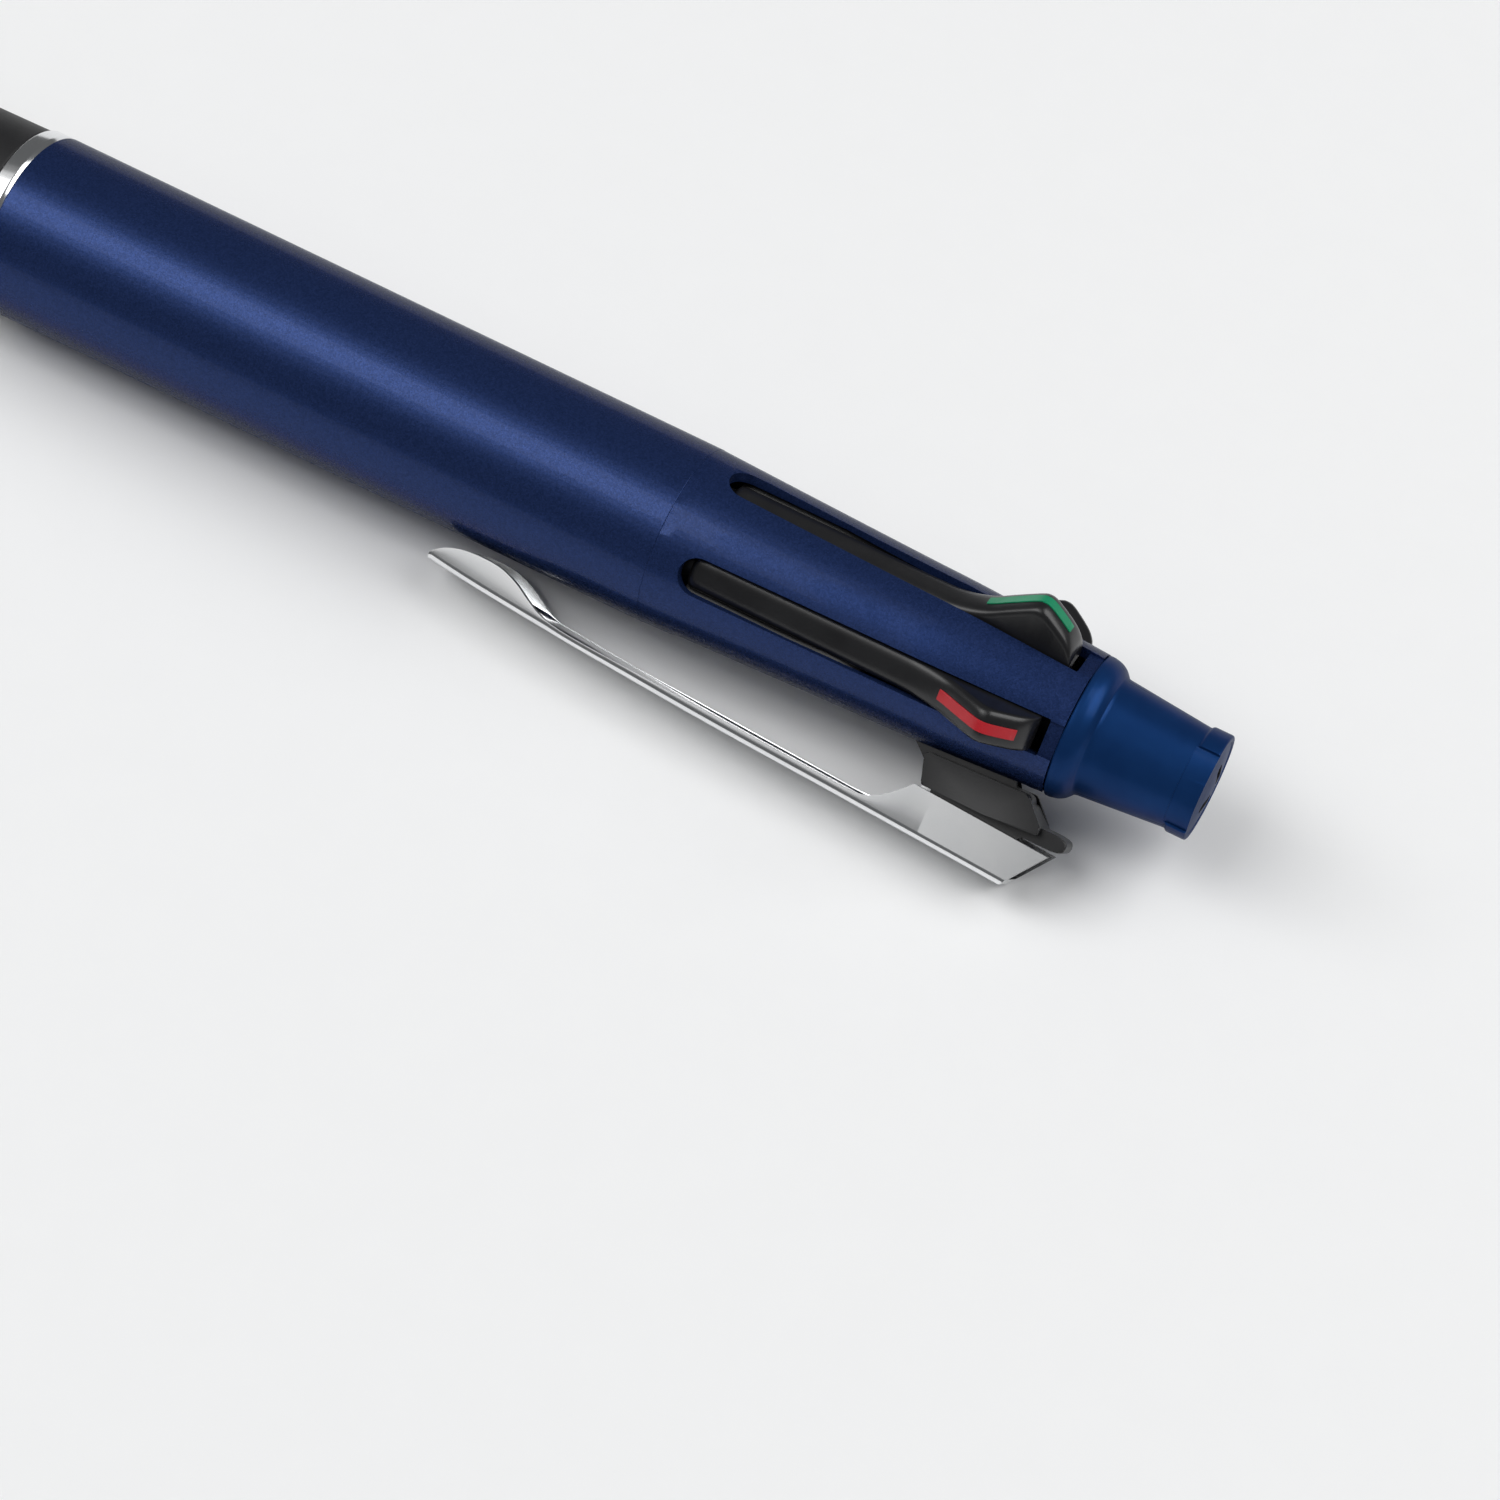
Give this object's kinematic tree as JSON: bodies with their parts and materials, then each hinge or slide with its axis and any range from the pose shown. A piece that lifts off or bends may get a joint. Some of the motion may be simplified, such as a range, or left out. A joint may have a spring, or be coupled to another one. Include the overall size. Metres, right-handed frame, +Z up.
{
  "type": "multicolor click pen",
  "caption": "Click pen whose coloured thumb levers slide in barrel slots to push refills out of the nose, with a sprung clip, rubber grip and pull-off end cap over an eraser.",
  "frame": {"origin": "on the table, at the middle of the resting pen's bounding box", "axes": "+X from the nose to the cap along the pen, +Z up, clip low on the -Y side"},
  "size_m": [0.1499, 0.0196, 0.0168],
  "materials": {
    "plated_metal": "satin plate",
    "inner_plastic": "matte",
    "grip_rubber": "matte rubber",
    "chrome": "polished",
    "navy_pearl": "pearl under clear coat",
    "navy_cap": "gloss, slightly translucent",
    "lever_black": "gloss",
    "eraser_white": "matte",
    "tube_plastic": "translucent",
    "spring_steel": "drawn wire",
    "graphite": "matte",
    "inlay_red": "gloss",
    "inlay_green": "gloss",
    "inlay_blue": "gloss",
    "inlay_black": "gloss"
  },
  "bodies": {
    "barrel": {"main_barrel": "navy_pearl", "slotted_barrel": "navy_pearl", "spring_guide": "inner_plastic", "lever_core": "inner_plastic", "eraser_holder": "inner_plastic", "eraser": "eraser_white", "spring_pencil": "spring_steel", "spring_red": "spring_steel", "spring_green": "spring_steel", "spring_blue": "spring_steel", "spring_black": "spring_steel"},
    "front": {"tip_cone": "plated_metal", "front_sleeve": "inner_plastic", "rubber_grip": "grip_rubber", "joint_ring": "chrome"},
    "cap": {"end_cap": "navy_cap"},
    "lever_red": {"lever_red": "lever_black", "inlay_red": "inlay_red"},
    "refill_red": {"refill_tube_red": "tube_plastic", "refill_point_red": "plated_metal"},
    "lever_green": {"lever_green": "lever_black", "inlay_green": "inlay_green"},
    "refill_green": {"refill_tube_green": "tube_plastic", "refill_point_green": "plated_metal"},
    "lever_blue": {"lever_blue": "lever_black", "inlay_blue": "inlay_blue"},
    "refill_blue": {"refill_tube_blue": "tube_plastic", "refill_point_blue": "plated_metal"},
    "lever_black": {"lever_black": "lever_black", "inlay_black": "inlay_black"},
    "refill_black": {"refill_tube_black": "tube_plastic", "refill_point_black": "plated_metal"},
    "pencil_lever": {"clip_carrier": "lever_black", "clip_pin": "plated_metal", "clip_spring": "spring_steel"},
    "clip": {"clip": "chrome"},
    "pencil": {"pencil_tube": "tube_plastic", "pencil_tip": "plated_metal", "pencil_lead": "graphite"}
  },
  "joints": [
    {"name": "red_slide", "type": "slide", "parent": "barrel", "child": "lever_red", "axis": [-0.9998, 0, -0.0187], "range_m": [0, 0.0105], "stiffness_N_per_m": 60, "springref_m": -0.01, "deforming": ["spring_red", "refill_tube_red", "refill_point_red"]},
    {"name": "red_tilt", "type": "hinge", "parent": "lever_red", "child": "refill_red", "pos_m": [0.03406, -0.00127, 0.00997], "axis": [0.0148, -0.6144, -0.7888], "range_deg": [0, 1.95]},
    {"name": "green_slide", "type": "slide", "parent": "barrel", "child": "lever_green", "axis": [-0.9998, 0, -0.0187], "range_m": [0, 0.0105], "stiffness_N_per_m": 60, "springref_m": -0.01, "deforming": ["spring_green", "refill_tube_green", "refill_point_green"]},
    {"name": "green_tilt", "type": "hinge", "parent": "lever_green", "child": "refill_green", "pos_m": [0.03404, 0.00245, 0.01104], "axis": [-0.0064, -0.9402, 0.3405], "range_deg": [0, 1.95]},
    {"name": "blue_slide", "type": "slide", "parent": "barrel", "child": "lever_blue", "axis": [-0.9998, 0, -0.0187], "range_m": [0, 0.0105], "stiffness_N_per_m": 60, "springref_m": -0.01, "deforming": ["spring_blue", "refill_tube_blue", "refill_point_blue"]},
    {"name": "blue_tilt", "type": "hinge", "parent": "lever_blue", "child": "refill_blue", "pos_m": [0.0341, 0.00463, 0.00783], "axis": [-0.0187, 0.0333, 0.9993], "range_deg": [0, 1.95]},
    {"name": "black_slide", "type": "slide", "parent": "barrel", "child": "lever_black", "axis": [-0.9998, 0, -0.0187], "range_m": [0, 0.0105], "stiffness_N_per_m": 60, "springref_m": -0.01, "deforming": ["spring_black", "refill_tube_black", "refill_point_black"]},
    {"name": "black_tilt", "type": "hinge", "parent": "lever_black", "child": "refill_black", "pos_m": [0.03415, 0.00224, 0.00477], "axis": [-0.0052, 0.9608, 0.2771], "range_deg": [0, 1.95]},
    {"name": "pencil_slide", "type": "slide", "parent": "barrel", "child": "pencil_lever", "axis": [-0.9998, 0, -0.0187], "range_m": [0, 0.0105], "stiffness_N_per_m": 60, "springref_m": -0.01, "deforming": ["spring_pencil", "pencil_tube", "pencil_tip", "pencil_lead"]},
    {"name": "pencil_tilt", "type": "hinge", "parent": "pencil_lever", "child": "pencil", "pos_m": [0.03413, -0.0014, 0.00609], "axis": [0.0155, 0.5605, -0.828], "range_deg": [0, 1.95]},
    {"name": "clip_open", "type": "hinge", "parent": "pencil_lever", "child": "clip", "pos_m": [0.06219, -0.00645, 0.0032], "axis": [-0.0155, -0.5605, 0.828], "range_deg": [0, 8], "stiffness_Nm_per_rad": 0.3, "springref_deg": -17.19, "deforming": ["clip_spring"]},
    {"name": "cap_pull", "type": "slide", "parent": "barrel", "child": "cap", "axis": [0.9998, 0, 0.0187], "range_m": [0, 0.012]},
    {"name": "front_unscrew", "type": "slide", "parent": "barrel", "child": "front", "axis": [-0.9998, 0, -0.0187], "range_m": [0, 0.008]}
  ],
  "couplings": [
    {"joint": "red_tilt", "follows": "red_slide", "rad_per_m": 3.1575},
    {"joint": "green_tilt", "follows": "green_slide", "rad_per_m": 3.1575},
    {"joint": "blue_tilt", "follows": "blue_slide", "rad_per_m": 3.1575},
    {"joint": "black_tilt", "follows": "black_slide", "rad_per_m": 3.1575},
    {"joint": "pencil_tilt", "follows": "pencil_slide", "rad_per_m": 3.1575}
  ]
}
